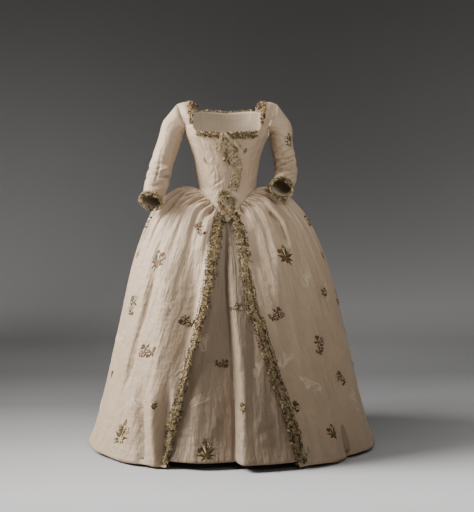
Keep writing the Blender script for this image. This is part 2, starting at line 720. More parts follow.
# Lines of creases on the front of each sleeve.
SLEEVE_LINES = {
    "right": [
        (-248, 98, -266, 20, 4, -4), (-254, 42, -194, 37, 4, -6), (-262, 60, -206, 80, 5, 3.5),
        (-272, 8, -228, 24, 4, -4), (-240, 120, -214, 92, 5, -3), (-262, -8, -236, 0, 4, 3),
    ],
    "left": [
        (174, 60, 262, 68, 3.5, -7), (186, 80, 260, 106, 3.5, -7), (176, 40, 262, 53, 3.5, -6),
        (206, 20, 260, 43, 3.5, -6), (194, 116, 252, 152, 5, -4.5), (182, 70, 260, 86, 4, 4),
        (178, 50, 258, 60, 3.5, 3.5), (188, 96, 252, 128, 5, 3.5), (192, 28, 250, 40, 3, 3),
    ],
}
SLEEVE_COLUMNS, SLEEVE_ROWS = 72, 120
SLEEVE_CREASE_GAIN = 1.5
# The inner front of a sleeve's head, drawn in to the armhole: place and width round it, and share.
HEAD_PLACE, HEAD_WIDTH, HEAD_SHARE = 0.12, 0.11, 0.62


def arm_axes(middle, sign):
    """Along the arm's line, to its outer side and forwards, each square to the others."""
    along = unit(np.gradient(middle, axis=0))
    forwards = np.array([0.0, -1.0, 0.0]) + 0 * middle
    forwards = unit(forwards - np.sum(forwards * along, axis=-1, keepdims=True) * along)
    outside = np.cross(along, forwards)
    return along, outside * np.sign(outside[:, :1] * sign), forwards


def cross_creases(side, share, at):
    """The sum of the bells across the sleeve, each strongest at its own place round it, with a soft
    spiral, 1.2 sin(3 turn + 9 at), below the head."""
    turn = 2 * np.pi * share
    depth = np.zeros((SLEEVE_COLUMNS, SLEEVE_ROWS))
    for where, round_at, width, height, slant in SLEEVE_CREASES[side]:
        shift = slant * np.sin(turn + 6.3 * where)
        reach = 0.35 + 0.65 * bump(((share - round_at + 0.5) % 1 - 0.5) / 0.28)
        depth += SLEEVE_CREASE_GAIN * height * bump((at - where - shift) / width) * reach
    return depth + 1.2 * np.sin(3 * turn + 9 * at) * smooth(at, 0.1, 0.3)


def sleeve(side, sign):
    """Rings round the arm's line: each an ellipse across and deep, square to the line, the first
    one the armhole's own curve."""
    row = SLEEVES[side]
    centre = spline(np.stack([row["x"], row["y"], row["z"]], axis=1))
    index = range(len(row["x"]))
    across, deep = line(index, row["across"]), line(index, row["deep"])
    t = np.linspace(0, 1, SLEEVE_ROWS)
    middle = centre(t)
    along, outside, forwards = arm_axes(middle, sign)
    share = np.linspace(0, 1, SLEEVE_COLUMNS + 1)[:-1, None]
    turn = 2 * np.pi * share
    at = t[None, :]
    ease = smooth(at, 0.0, 0.1) * (1 - smooth(at, 0.93, 1.0))
    depth = cross_creases(side, share, at) * ease
    k = t * index[-1]
    wide = (across(k)[None] + depth)[..., None]
    thick = (deep(k)[None] + depth)[..., None]
    rings = middle[None] - np.cos(turn)[..., None] * outside[None] * wide
    rings = rings + np.sin(turn)[..., None] * forwards[None] * thick
    outward = unit(rings - middle[None])
    front = smooth(-outward[..., 1], 0.0, 0.5) * ease
    lines = SLEEVE_CREASE_GAIN * creases(rings, SLEEVE_LINES[side])
    rings = rings + (lines * front)[..., None] * outward
    hole = armhole(sign)(share[:, 0])[:, None]
    head = HEAD_SHARE * bump((share - HEAD_PLACE) / HEAD_WIDTH) * (1 - smooth(at, 0.0, 0.1))
    rings = mix(rings, hole + (middle - middle[0])[None], head[..., None])
    lead = [mix(hole, rings[:, :1], s) for s in (0.0, 0.33, 0.66)]
    points = np.concatenate([*lead, rings], axis=1)
    centres = np.concatenate([middle[:1]] * len(lead) + [middle])
    cloth = Cloth(points, unit(points - centres[None]), closed=True)
    cloth.hang = unit(0.5 * along[-1] + np.array([0, 0, -0.5]))
    cloth_piece(f"sleeve_{side}", cloth, lining=LINEN)


for side, sign in SIDES:
    sleeve(side, sign)


# ------------------------------------------------------------------ gown skirt
def edge_angle(side, sign, level):
    """The angle at which a front edge lies on a ring, from its distance to the middle."""
    height = skirt_form(8.0 + 0 * level, level)[..., 2]
    shift = SKIRT_SHIFT * smooth(level, 3, 9)
    half = skirt_form(90.0 + 0 * level, level)[..., 0] - shift
    return np.degrees(np.arcsin((opening[side](height) - sign * shift) / half))


def pleat_wave(phase):
    """A rounded knife pleat: one steep flank and one easy one."""
    return (np.sin(phase) + 0.3 * np.sin(2 * phase + 0.5)) / 1.15


SKIRT_CREASES = [
    (-58, -92, -100, -240, 18, 9), (-36, -88, -62, -205, 7, -9), (-104, -60, -140, -190, 10, -5),
    (-118, -190, -168, -800, 36, -19), (-212, -190, -262, -900, 36, 12),
    (-258, -300, -312, -520, 10, -13), (-304, -470, -372, -740, 11, -13),
    (-280, -330, -350, -640, 16, 9), (-262, -720, -250, -990, 17, 17),
    (-212, -690, -228, -990, 13, -17), (-300, -700, -300, -980, 15, -13),
    (-112, -320, -128, -540, 18, -8), (-330, -720, -352, -960, 20, 6),
    (-392, -500, -430, -900, 24, -6), (-310, -820, -345, -760, 12, 5), (54, -185, 122, -430, 9, 3),
    (50, -210, 114, -405, 2.6, -4.5), (100, -140, 128, -300, 15, -10),
    (150, -80, 200, -130, 6, -17), (192, -118, 224, -205, 6, -15), (180, -84, 228, -160, 9, 7),
    (168, -190, 192, -430, 22, 7), (258, -215, 278, -580, 22, -9), (308, -240, 350, -600, 24, 6),
    (206, -420, 236, -700, 24, -6), (255, -720, 298, -970, 18, -8), (330, -680, 362, -960, 20, -7),
    (404, -640, 440, -940, 20, -6), (388, -380, 432, -640, 18, -6), (286, -800, 340, -940, 14, 5),
    (-420, -780, -470, -950, 22, 7), (432, -850, 456, -1000, 10, -15),
    (-150, -720, -176, -980, 12, -8), (355, -700, 392, -1000, 16, 9), (-226, -36, -136, 6, 4.5, -8),
    (-226, -80, -108, -20, 5, -9), (-214, -50, -150, -22, 7, 4),
]
# The gathers of one side of the skirt, front edge to centre back: share of the way, trough depth
# and half width in mm at its deepest, ring where it has run out, and drift towards the back.
GATHERS = {
    "right": [
        (0.03, 7, 5, 4.5, 0), (0.062, 15, 8, 6.6, 0.02), (0.098, 9, 6, 5.2, 0.02),
        (0.128, 5, 6, 5, 0.03), (0.165, 13, 9, 6.9, 0.05), (0.205, 8, 6, 5.4, 0.04),
        (0.24, 10, 7, 6.2, 0.05), (0.282, 16, 10, 7.3, 0.04), (0.318, 7, 6, 5, 0.03),
        (0.352, 11, 8, 6.4, 0.03), (0.398, 15, 9, 7.4, 0.02), (0.436, 8, 7, 5.6, 0.02),
        (0.476, 12, 8, 6.6, 0.01), (0.52, 14, 9, 7, 0.01), (0.556, 7, 6, 5.2, 0),
        (0.596, 13, 9, 7.2, 0), (0.64, 10, 8, 6.2, 0), (0.68, 15, 10, 7.6, 0), (0.72, 8, 7, 5.6, 0),
        (0.762, 13, 9, 7, 0), (0.806, 11, 8, 6.4, 0), (0.846, 15, 10, 7.6, 0), (0.888, 9, 7, 6, 0),
        (0.934, 13, 9, 7.2, 0),
    ],
    "left": [
        (0.026, 8, 5, 5.6, 0), (0.052, 10, 6, 6, 0.02), (0.08, 6, 5, 4.8, 0.02),
        (0.104, 9, 6, 5.4, 0.02), (0.13, 7, 5, 4.6, 0.03), (0.156, 8, 5, 4.8, 0.03),
        (0.184, 6, 5, 4.6, 0.03), (0.222, 17, 10, 7, 0.06), (0.27, 9, 7, 5.6, 0.04),
        (0.31, 12, 8, 6.6, 0.03), (0.35, 8, 7, 5.6, 0.02), (0.388, 14, 9, 7, 0.02),
        (0.43, 9, 7, 5.8, 0.02), (0.47, 13, 9, 6.8, 0.01), (0.514, 10, 8, 6.2, 0.01),
        (0.556, 15, 10, 7.4, 0), (0.6, 8, 7, 5.6, 0), (0.64, 12, 9, 6.8, 0), (0.684, 14, 9, 7.2, 0),
        (0.726, 9, 7, 5.8, 0), (0.768, 13, 9, 7, 0), (0.812, 10, 8, 6.4, 0),
        (0.856, 15, 10, 7.6, 0), (0.926, 12, 9, 7, 0),
    ],
}
GATHER_GAIN = 1.85
# A side's length front to back over its ring's half width, and the share of the pleats that shows.
SIDE_LENGTH = 1.65
PLEAT_SHARE = 0.45
WAIST_SEAM_DIP = 3.5
HEM_DROP = 4.0
HEM_WAVE, HEM_WAVE_TURNS = 3.0, 37.0


def gathers(side, share, level):
    """Troughs exp(-(aside / width)^2) that are narrow at the waist seam and open as they run down,
    times a depth that grows over the first ring and runs out before each one's last."""
    total = np.zeros_like(level + share)
    for at, depth, width, ends, drift in GATHERS[side]:
        aside = (share - at - drift * smooth(level, 0, ends)) * SIDE_LENGTH * ring["half"](level)
        spread = width * (0.18 + 0.6 * smooth(level, 0.5, 4)) * (1 + 0.5 * smooth(level, 3, ends))
        strength = smooth(level, 0.05, 1.0) * (1 - smooth(level, 0.28 * ends, 0.95 * ends))
        total -= GATHER_GAIN * depth * strength * bump(aside / spread)
    return total


def gown_panel(part, side, sign, low, high, columns, rows):
    """Half of one side of the gown's skirt: pleats by their share of the way from the front edge to
    the centre back, broad folds by angle, and hand-placed creases."""
    share = np.linspace(low, high, columns)[:, None]
    level = (np.linspace(0, 1, rows) ** 1.15 * LAST_RING)[None, :]
    angle = sign * mix(edge_angle(side, sign, level[0])[None, :], 180.0, share)
    level = level + 0 * angle
    points = skirt_form(angle, level)
    safe = np.maximum(level, 0.02)
    normals = turned_out(facing(skirt_form, angle, safe, 0.5, 0.02), up_and_out(points))
    near_edge = smooth(share, 0.01, 0.06) * (1 - smooth(share, 0.985, 1))
    phase = 2 * np.pi * PLEATS_A_SIDE * share
    depth = PLEAT_SHARE * ring["pleat"](level) * near_edge * (1 + pleat_wave(phase))
    depth = depth + near_edge * gathers(side, share, level)
    seam = smooth(level, 0.0, 0.12) * (1 - smooth(level, 0.2, 0.6)) * (share < 0.4)
    depth = depth - WAIST_SEAM_DIP * seam + ring["fold"](level) * broad_folds(np.radians(angle))
    front = (np.cos(np.radians(angle)) > 0.1) * smooth(share, 0.0, 0.03)
    depth = depth + creases(points, SKIRT_CREASES) * front
    points = points + depth[..., None] * normals
    along = share[:, 0]
    drop = HEM_DROP * bump((along - 0.02) / 0.05) if side == "right" else 0
    points[:, -1, 2] = HEM - drop + HEM_WAVE * np.sin(HEM_WAVE_TURNS * along)
    cloth_piece(f"gown_skirt_{part}_{side}", Cloth(points, up_and_out(points)),
                width_row=rows - 1)


for side, sign in SIDES:
    gown_panel("front", side, sign, 0.0, 0.5, 160, 120)
    gown_panel("back", side, sign, 0.5, 1.0, 110, 90)


# ------------------------------------------------------------------ petticoat
# Each row of the waistband: height above the waist edge, and how far inside the bodice.
WAISTBAND = [(12.0, 3.2), (-3.0, 3.6)]
PETTICOAT_CREASES = [
    (88, -430, 96, -740, 14, -7), (84, -858, 172, -766, 10, 6), (96, -905, 190, -838, 9, 5),
    (32, -830, 32, -960, 2.5, -3.5), (-96, -640, -120, -950, 18, 7), (140, -690, 170, -960, 16, -7),
    (-66, -880, -30, -800, 12, 5),
]
# The sharp core of the hollow: depth, place beside its middle and width.
CORE_DEPTH, CORE_ASIDE, CORE_WIDTH = 10.0, 3.0, 7.0
PETTICOAT_GATHER = 0.28


def petticoat_panel(name, first, last, columns, rows):
    """The petticoat's form inside the gown's: a ridge and a hollow in front, each a bell across x,
    the broad folds, and gathers, sin(0.9 a + 1.3 sin(0.23 a)) by the angle a. Its lower rows ease
    down to a level hem, and its waistband stands inside the bodice."""
    share = np.linspace(0, 1, columns)[:, None]
    angle = mix(first, last, share)
    away = np.minimum(np.abs(angle), 360 - np.abs(angle))
    level = (np.linspace(0, 1, rows + 1)[1:] ** 1.1 * LAST_RING)[None, :] + 0 * angle

    def band_row(above, inside):
        height = waist_edge(away) + above
        edge = body_point(angle, height)
        normal = turned_out(facing(body_point, angle, height, 0.5, 1.0), out_from_axis(edge))
        return edge - inside * normal

    def form(a, b):
        return skirt_form(a, b, PETTICOAT_INSET)

    turn = angle + 0 * level
    points = form(turn, level)
    normals = turned_out(facing(form, turn, level, 0.5, 0.02), up_and_out(points))
    front = np.cos(np.radians(turn)) > 0
    x = points[..., 0]
    aside = x - hollow["hollow"](level)
    reach = np.where(aside < 0, HOLLOW_LEFT, HOLLOW_RIGHT)
    dip = hollow["hollow_depth"](level) * bump(aside / reach)
    dip = dip + CORE_DEPTH * smooth(level, 4.5, 7) * bump((aside - CORE_ASIDE) / CORE_WIDTH)
    rise = hollow["ridge_height"](level) * bump((x - hollow["ridge"](level)) / RIDGE_WIDTH)
    depth = ring["fold"](level) * broad_folds(np.radians(turn)) + front * (rise - dip)
    ripple = np.sin(turn * 0.9 + 1.3 * np.sin(turn * 0.23))
    depth = depth + ripple * ring["pleat"](level) * PETTICOAT_GATHER
    depth = depth + front * creases(points, PETTICOAT_CREASES)
    points = points + depth[..., None] * normals
    points[..., 2] += (PETTICOAT_HEM - points[:, -1:, 2]) * smooth(level, 6.5, LAST_RING)
    points = np.concatenate([*(band_row(*row) for row in WAISTBAND), points], axis=1)
    cloth_piece(name, Cloth(points, up_and_out(points)),
                slot="petticoat_silk", width_row=rows)


petticoat_panel("petticoat_front", -98.0, 98.0, 200, 110)
petticoat_panel("petticoat_back", 98.0, 262.0, 90, 60)

# ------------------------------------------------------------------ fly fringe
YELLOW = (0.39, 0.30, 0.145)
CREAM = (0.49, 0.39, 0.24)
OLIVE = (0.17, 0.125, 0.058)
DARK = (0.05, 0.03, 0.014)
RUST = (0.17, 0.064, 0.027)
PINK = (0.32, 0.165, 0.115)
FLY_COLOURS = np.array([YELLOW, CREAM, OLIVE, DARK, RUST, PINK])
rng = np.random.default_rng(1785)


def pick_colours(count, odds):
    """Floss colours for a count of tufts, drawn by the odds of the six."""
    return FLY_COLOURS[rng.choice(len(FLY_COLOURS), count, p=np.array(odds) / np.sum(odds))]


def tufts(name, base, normal, along, tints, blades, length, spread, stem=1.1):
    """Small brushes of floss: at each base, blades that lean out by spread from the normal. A blade
    is a three-sided taper: two rings of three points and a tip."""
    count = len(base)
    side = unit(np.cross(normal, along))
    evenly = np.linspace(0, 2 * np.pi, blades, endpoint=False)
    spin = rng.uniform(0, 2 * np.pi, (count, blades)) + evenly
    lean = spread * np.sqrt(rng.uniform(0.15, 1, (count, blades)))
    reach = length * rng.uniform(0.65, 1.15, (count, blades))
    radial = np.cos(spin)[..., None] * along[:, None] + np.sin(spin)[..., None] * side[:, None]
    heading = unit(np.cos(lean)[..., None] * normal[:, None] + np.sin(lean)[..., None] * radial)
    a = unit(np.cross(heading, normal[:, None] + 0.3 * along[:, None]))
    b = np.cross(heading, a)
    verts = []
    for share, thick in ((0.0, 0.7), (0.6, 1.0)):
        middle = base[:, None] + heading * (reach * share)[..., None]
        for k in range(3):
            angle = 2 * np.pi * k / 3
            verts.append(middle + stem * thick * (math.cos(angle) * a + math.sin(angle) * b))
    droop = -0.12 * reach[..., None] * np.array([0, 0, 1.0])
    verts.append(base[:, None] + heading * reach[..., None] + droop)
    verts = np.stack(verts, axis=2).reshape(-1, 3)
    start = (np.arange(count * blades) * 7)[:, None]
    corners = [(k, (k + 1) % 3) for k in range(3)]
    quads = np.concatenate([start + np.array([k, m, 3 + m, 3 + k]) for k, m in corners])
    tris = np.concatenate([start + np.array(tri) for tri in
                           [*((3 + k, 3 + m, 6) for k, m in corners), (2, 1, 0)]])
    tint = np.repeat(tints, blades * 7, axis=0).reshape(count, blades, 7, 3)
    tint = tint * rng.uniform(0.75, 1.25, (count, blades, 1, 1))
    mesh_piece(name, verts, [quads, tris], FLOSS,
               tint=np.clip(tint, 0, 1).reshape(-1, 3), smooth_faces=False)


# A braid's ground: its colour along the middle and at the edges.
BRAID_GROUND = ((0.31, 0.235, 0.125), (0.18, 0.132, 0.07))
PALE_GROUND = ((0.47, 0.36, 0.235), (0.36, 0.265, 0.16))
RIBBON_GROUND = ((0.52, 0.435, 0.26), (0.38, 0.30, 0.155))
# The odds of the six floss colours, in the order of FLY_COLOURS.
EDGE_ODDS = (0.12, 0.06, 0.34, 0.40, 0.06, 0.02)
MIDDLE_ODDS = (0.46, 0.12, 0.28, 0.08, 0.04, 0.02)
PALE_ODDS = (0.24, 0.46, 0.10, 0.04, 0.02, 0.14)
MASS_ODDS = (0.30, 0.12, 0.36, 0.20, 0.02, 0.0)
BRUSH_ODDS = (0.34, 0.20, 0.36, 0.10, 0.0, 0.0)
CUFF_ODDS = (0.26, 0.34, 0.20, 0.08, 0.06, 0.06)
NECK_ODDS = {
    "right": (0.20, 0.14, 0.30, 0.18, 0.10, 0.08),
    "left": (0.36, 0.06, 0.14, 0.18, 0.26, 0.0),
}
FLY_ODDS = (0.12, 0.0, 0.30, 0.50, 0.08, 0.0)
# The tufts of each place: blades in a tuft, their length in mm, lean in radians and thickness.
EDGE_TUFT = {"blades": 10, "length": 7.5, "spread": 1.35, "stem": 0.75}
BODICE_TUFT = {"blades": 8, "length": 6.5, "spread": 1.3, "stem": 0.8}
POINT_TUFT = {**BODICE_TUFT, "length": 9}
BRUSH_TUFT = {"blades": 12, "spread": 1.45, "stem": 0.7}
NECK_TUFT = {"blades": 7, "length": 7, "spread": 1.25}
NECK_FRONT_TUFT = {**NECK_TUFT, "length": 8}
CUFF_TUFT = {"blades": 6, "length": 6, "spread": 1.3, "stem": 0.7}
HANGING_TUFT = {"blades": 8, "length": 11, "spread": 0.85, "stem": 0.7}
# The neck's edging in front: rows down from the cloth's edge, and width in mm.
NECK_FRONT = {"right": (2.6, 13), "left": (3.6, 18)}
CUFF_TUFTS = 52
CUFF_DROPS = (2, 10)


def mirrored(half, *middle):
    """Lanes over a whole braid from those of one half, edge first, and the one in the middle."""
    return [(-place, *rest) for place, *rest in half] + [*middle] + half[::-1]


def fly_braid(name, points, normals, width, lanes, tuft, node, rise=2.5, lift=1.2,
              ground=BRAID_GROUND, ruck=1.5):
    """A ruched braid along a path with rows of floss tufts on it. The braid's height over its width
    x in -1..1 is lift + rise (1 - x^2) (0.65 + 0.35 sin(s/ruck + x)); its edges wander by sin(s).
    Each lane is (place across, pitch in mm, odds of the six colours)."""
    length = path_lengths(points)
    along = unit(np.gradient(points, axis=0))

    def at(s):
        def pick(values):
            return np.stack([np.interp(s, length, values[:, k]) for k in range(3)], axis=-1)
        normal, ahead = unit(pick(normals)), unit(pick(along))
        return pick(points), normal, ahead, unit(np.cross(normal, ahead))

    s = np.arange(0, length[-1], 1.6)
    middle, normal, _, side = at(s)
    x = np.linspace(-1, 1, 9)[:, None]
    wander = 1 + 0.12 * np.sin(s / 2.1)[None] + 0.1 * np.sin(s / 5.3 + 1)[None]
    waves = np.sin(s[None] / ruck + 1.5 * x + 1.3 * np.sin(s[None] / 7 + 2 * x))
    high = lift + rise * (1 - x * x) * (0.65 + 0.35 * waves)
    across = (x * wander * width / 2)[..., None] * side[None]
    upper = middle[None] + across + high[..., None] * normal[None]
    lower = middle[None] + across + (lift - 0.7) * normal[None]
    rows = len(s)
    faces = wall_faces(9, rows, False)
    if np.dot(np.cross(upper[1, 1] - upper[0, 1], upper[0, 2] - upper[0, 1]), normal[1]) < 0:
        faces = faces[:, ::-1]
    middle_tint, edge_tint = np.array(ground)
    tint = mix(middle_tint, edge_tint, (x**2 + 0 * s[None])[..., None])
    tint = tint * (0.85 + 0.2 * waves)[..., None]
    verts = np.concatenate([upper.reshape(-1, 3), lower.reshape(-1, 3)])
    tints = np.clip(np.concatenate([tint.reshape(-1, 3)] * 2), 0, 1)
    base = mesh_piece(f"{name}_braid", verts, [faces], FLOSS, tint=tints)
    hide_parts(node)
    found = []
    for share, pitch, odds in lanes:
        places = np.arange(pitch * rng.uniform(0.1, 0.6), length[-1], pitch)
        places = np.clip(places + rng.uniform(-0.3, 0.3, len(places)) * pitch, 0, length[-1])
        point, up, ahead, side = at(places)
        aside = share * width / 2 + 1.6 * np.sin(places / 6.0) + rng.uniform(-1.2, 1.2, len(places))
        point = point + aside[:, None] * side + (lift + rise * 0.5 * (1 - share * share)) * up
        up = unit(up + 0.7 * share * side)
        found.append((point, up, ahead, pick_colours(len(places), odds)))
    joined = [np.concatenate(part) for part in zip(*found)]
    tufts(f"{name}_tufts", *joined, **tuft)


def front_edge_fringe(side):
    """Down a skirt front, its middle swaying by sines, 8 mm in from the open edge at the waist and
    14 mm from half way down."""
    cloth = cloths[f"gown_skirt_front_{side}"]
    v = np.linspace(4.0, cloth.points.shape[1] - 2.8, 400)
    sway = 2.2 * np.sin(v * 0.9) + 1.6 * np.sin(v * 0.37 + 1)
    inset = 14 * (0.55 + 0.45 * smooth(v, 0, 60)) + sway
    points, normals = cloth.place(cloth.columns_at(v, inset), v)
    lanes = mirrored([(1.6, 10, FLY_ODDS), (0.9, 6.5, EDGE_ODDS), (0.35, 6.5, MIDDLE_ODDS)])
    fly_braid(f"front_edge_{side}", points, normals, 24, lanes, EDGE_TUFT,
              f"front_edge_trim_{side}", rise=1.6)


def on_front(side, start, end, count=40):
    """A path on a bodice front between two places, each (out from the closing, height)."""
    cloth = cloths[f"bodice_front_{side}"]
    rows = np.arange(cloth.points.shape[1], dtype=float)
    t = np.linspace(0, 1, count)
    out = mix(start[0], end[0], t)
    height = mix(start[1], end[1], t)
    v = np.interp(height, cloth.points[0, :, 2], rows)
    u = np.maximum(cloth.columns_at(v, out), 0)
    heights = [np.interp(z, cloth.place(np.full(len(rows), a), rows)[0][:, 2], rows)
               for a, z in zip(u, height)]
    return cloth.place(u, np.array(heights))


def brush(name, side, place, reach, count, odds):
    """Long floss that spreads from one place on a bodice front."""
    point, normal = on_front(side, place, (place[0], place[1] - 10), count)
    base = point + 2.5 * normal + rng.uniform(-3, 3, point.shape)
    along = unit(np.gradient(point, axis=0))
    tufts(name, base, normal, along, pick_colours(count, odds), length=reach, **BRUSH_TUFT)


def bodice_braid(name, side, start, end, width, lanes, node, tuft=BODICE_TUFT, **form):
    """A braid on a bodice front between two places (mm out from the closing, height)."""
    fly_braid(name, *on_front(side, start, end), width, lanes, tuft, node, **form)


def trim_bodice():
    """The closing's ruched band, the brushes and edging of the point, and the bow at the neck."""
    band = mirrored([(0.95, 6, PALE_ODDS), (0.5, 7, PALE_ODDS)], (0.0, 7, PALE_ODDS))
    bodice_braid("closing_left", "left", (20, 168), (20, -8), 34, band, "closing_band_left",
                 ground=PALE_GROUND, ruck=2.6)
    bodice_braid("closing_right", "right", (13, 132), (9, 84), 10, mirrored([(0.8, 5, MASS_ODDS)]),
                 "closing_tuft_right", rise=2)
    light = mirrored([(0.8, 5, PALE_ODDS)], (0.0, 5, MIDDLE_ODDS))
    for side, start in (("right", (42, -46)), ("left", (34, -34))):
        bodice_braid(f"point_{side}", side, start, (7, -98), 15, light, f"point_tuft_{side}",
                     POINT_TUFT, rise=2, ground=RIBBON_GROUND, ruck=2.6)
    brush("point_brush_right", "right", (24, -24), 34, 22, BRUSH_ODDS)
    brush("point_brush_left", "left", (14, -42), 19, 12, PALE_ODDS)
    tail = mirrored([(0.9, 7, PALE_ODDS)])
    dark = [(-0.9, 6, MIDDLE_ODDS), (0.9, 6, MASS_ODDS)]
    bodice_braid("bow_left", "left", (2, 198), (54, 146), 15, tail, "neck_bow_end_left",
                 lift=5, ground=RIBBON_GROUND, ruck=7)
    bodice_braid("bow_right", "right", (12, 190), (32, 136), 17, dark, "neck_bow_end_right",
                 rise=3, lift=3, ground=RIBBON_GROUND, ruck=7)
    bodice_braid("bow_knot", "right", (10, 202), (9, 182), 16, tail, "neck_bow_knot",
                 rise=4, lift=4, ground=RIBBON_GROUND, ruck=5)


def trim_neck(side, sign):
    """Round one side of the neck: the front's top edge as far as the strap, the strap's inner edge,
    and the back's top edge."""
    lanes = mirrored([(0.9, 5.5, NECK_ODDS[side])], (0.0, 6, NECK_ODDS[side]))

    def edging(part, cloth, columns, rows, width, tuft):
        fly_braid(f"neck_{part}_{side}", *cloth.place(columns, rows), width, lanes, tuft,
                  f"neck_trim_{part}_{side}", rise=2)

    front = cloths[f"bodice_front_{side}"]
    below, width = NECK_FRONT[side]
    edge = front.points[:, -1]
    angle = np.abs(np.degrees(np.arctan2(edge[:, 0], -edge[:, 1])))
    u = np.linspace(1, np.argmax(angle > STRAP_FRONT[0]), 60)
    rows = np.full(len(u), front.points.shape[1] - below)
    edging("front", front, u, rows, width, NECK_FRONT_TUFT)
    strap = cloths[f"shoulder_strap_{side}"]
    columns, rows = strap.points.shape[:2]
    v = np.linspace(0.08, 0.93, 60) * (rows - 1)
    edging("strap", strap, np.full(len(v), columns - 2.5 if sign > 0 else 1.5), v, 12, NECK_TUFT)
    back = cloths[f"bodice_centre_back_{side}"]
    columns, rows = back.points.shape[:2]
    u = np.linspace(1, columns - 1, 40)
    edging("back", back, u, np.full(len(u), rows - 1.4), 12, NECK_TUFT)


def trim_cuff(side):
    """Round a cuff: a narrow braid at the edge, and two rows of tufts that hang past it."""
    cloth = cloths[f"sleeve_{side}"]
    columns, rows = cloth.points.shape[:2]
    u = np.linspace(0, columns - 0.01, 140)
    odds, ground = (CUFF_ODDS, PALE_GROUND) if side == "right" else (MASS_ODDS, BRAID_GROUND)
    fly_braid(f"cuff_{side}", *cloth.place(u, np.full(len(u), rows - 2.0)), 8, [(0.0, 7, odds)],
              CUFF_TUFT, f"cuff_fringe_{side}", rise=1.6, ground=ground)
    for row, drop in enumerate(CUFF_DROPS):
        u = (np.arange(CUFF_TUFTS) + 0.5 * row) / CUFF_TUFTS * columns
        base, normal = cloth.place(u % columns, np.full(len(u), rows - 1.1))
        base = base + drop * cloth.hang + (1.0 + row) * normal
        base = base + rng.uniform(-2.0, 2.0, base.shape)
        tint = pick_colours(CUFF_TUFTS, odds)
        heading = unit(0.9 * cloth.hang + 0.45 * normal)
        along = unit(np.cross(heading, normal) + 0.01)
        tufts(f"cuff_{side}_row_{row + 1}", base, heading, along, tint, **HANGING_TUFT)


trim_bodice()
for side, sign in SIDES:
    front_edge_fringe(side)
    trim_neck(side, sign)
    trim_cuff(side)


# ------------------------------------------------------------------ brocaded sprigs
LEAF_DARK = (0.055, 0.034, 0.013)
LEAF_GREEN = (0.10, 0.076, 0.028)
LEAF_YELLOW = (0.26, 0.19, 0.08)
ORANGE = (0.22, 0.08, 0.026)
PLUM = (0.11, 0.04, 0.04)
SELF = (0.47, 0.36, 0.25)
DEEP_SELF = (0.37, 0.28, 0.19)
TEAL = (0.24, 0.24, 0.17)
STATIONS = np.array([0.0, 0.2, 0.45, 0.72, 1.0])


def leaf(x, y, angle, length, width, tint, round_end=0.0):
    """One woven figure: its foot, heading in degrees from the cross thread, size and tint."""
    return (x, y, math.radians(angle), length, width, round_end, *tint)


def flower(x, y, size, petals, tint, middle, turn=0.0):
    """A ring of petals over a darker, larger ring, with a heart."""
    under = [leaf(x, y, turn + 360 * (k + 0.5) / petals, 1.2 * size, 0.5 * size, LEAF_DARK, 1.0)
             for k in range(petals)]
    over = [leaf(x, y, turn + 360 * k / petals, size, 0.62 * size, tint, 1.0)
            for k in range(petals)]
    return [*under, *over, leaf(x - 0.2 * size, y, 0, 0.4 * size, 0.4 * size, middle, 1.0)]


def fan(x, y, leaves):
    """Leaves from one foot, each (heading, length, width, tint)."""
    return [leaf(x, y, a, r, w, t) for a, r, w, t in leaves]


def posy(petal, heart, extra):
    """A full flower low in a fan of dark leaves, with buds between them."""
    rows = fan(0, -6, [
        (20, 27, 4.5, LEAF_DARK), (48, 31, 4, LEAF_GREEN), (74, 34, 4.5, LEAF_DARK),
        (92, 24, 4, extra), (104, 31, 4, LEAF_DARK), (126, 33, 4.5, LEAF_YELLOW),
        (158, 28, 4, LEAF_DARK),
        (-28, 22, 4, LEAF_DARK), (-62, 26, 4, LEAF_GREEN), (205, 22, 4, LEAF_DARK),
        (236, 20, 3, extra)])
    rows += [leaf(0, -24, 86, 30, 2.2, LEAF_DARK), leaf(6, 10, 30, 15, 2, LEAF_DARK)]
    rows += flower(-2, -8, 10, 6, petal, heart, 15)
    rows += flower(14, 13, 6, 5, extra, LEAF_YELLOW, 40) + flower(-14, 15, 6, 5, petal, extra, 0)
    return rows + flower(2, 27, 4.5, 5, LEAF_YELLOW, LEAF_DARK, 0)


def spray(petal, heart, extra):
    """A slanting stem with leaves by turns and a flower at its end."""
    rows = [leaf(-26, -14, 28, 52, 2.2, LEAF_DARK), leaf(-6, -3, 60, 34, 2, LEAF_DARK)]
    rows += [leaf(x, y, a, r, 4.2, t) for x, y, a, r, t in (
        (-20, -11, 95, 14, LEAF_GREEN), (-16, -9, -70, 13, LEAF_DARK),
        (-12, -7, -40, 15, LEAF_DARK),
        (-8, -5, 80, 14, LEAF_DARK), (-4, -3, 112, 17, LEAF_YELLOW), (4, 2, -28, 16, LEAF_DARK),
        (8, 4, 92, 15, LEAF_GREEN), (2, 14, 150, 14, LEAF_DARK), (10, 20, 20, 13, LEAF_GREEN),
        (20, 8, -80, 12, LEAF_DARK))]
    rows += flower(22, 9, 8.5, 6, petal, heart) + flower(11, 25, 6.5, 5, extra, petal, 25)
    return rows + flower(-22, -2, 5, 5, petal, heart, 10) + flower(3, -9, 4.5, 5, extra, LEAF_DARK)


def sprout(petal, heart, extra):
    """A small upright slip."""
    rows = [leaf(0, -16, 90, 28, 1.8, LEAF_DARK)]
    rows += [leaf(0, -10 + 4 * k, a, 13, 3.8, t) for k, (a, t) in enumerate((
        (35, LEAF_DARK), (145, LEAF_GREEN), (50, LEAF_YELLOW), (128, LEAF_DARK), (30, LEAF_DARK)))]
    return rows + flower(0, 12, 5.5, 5, petal, heart, 18) + flower(9, 3, 4, 4, extra, heart)


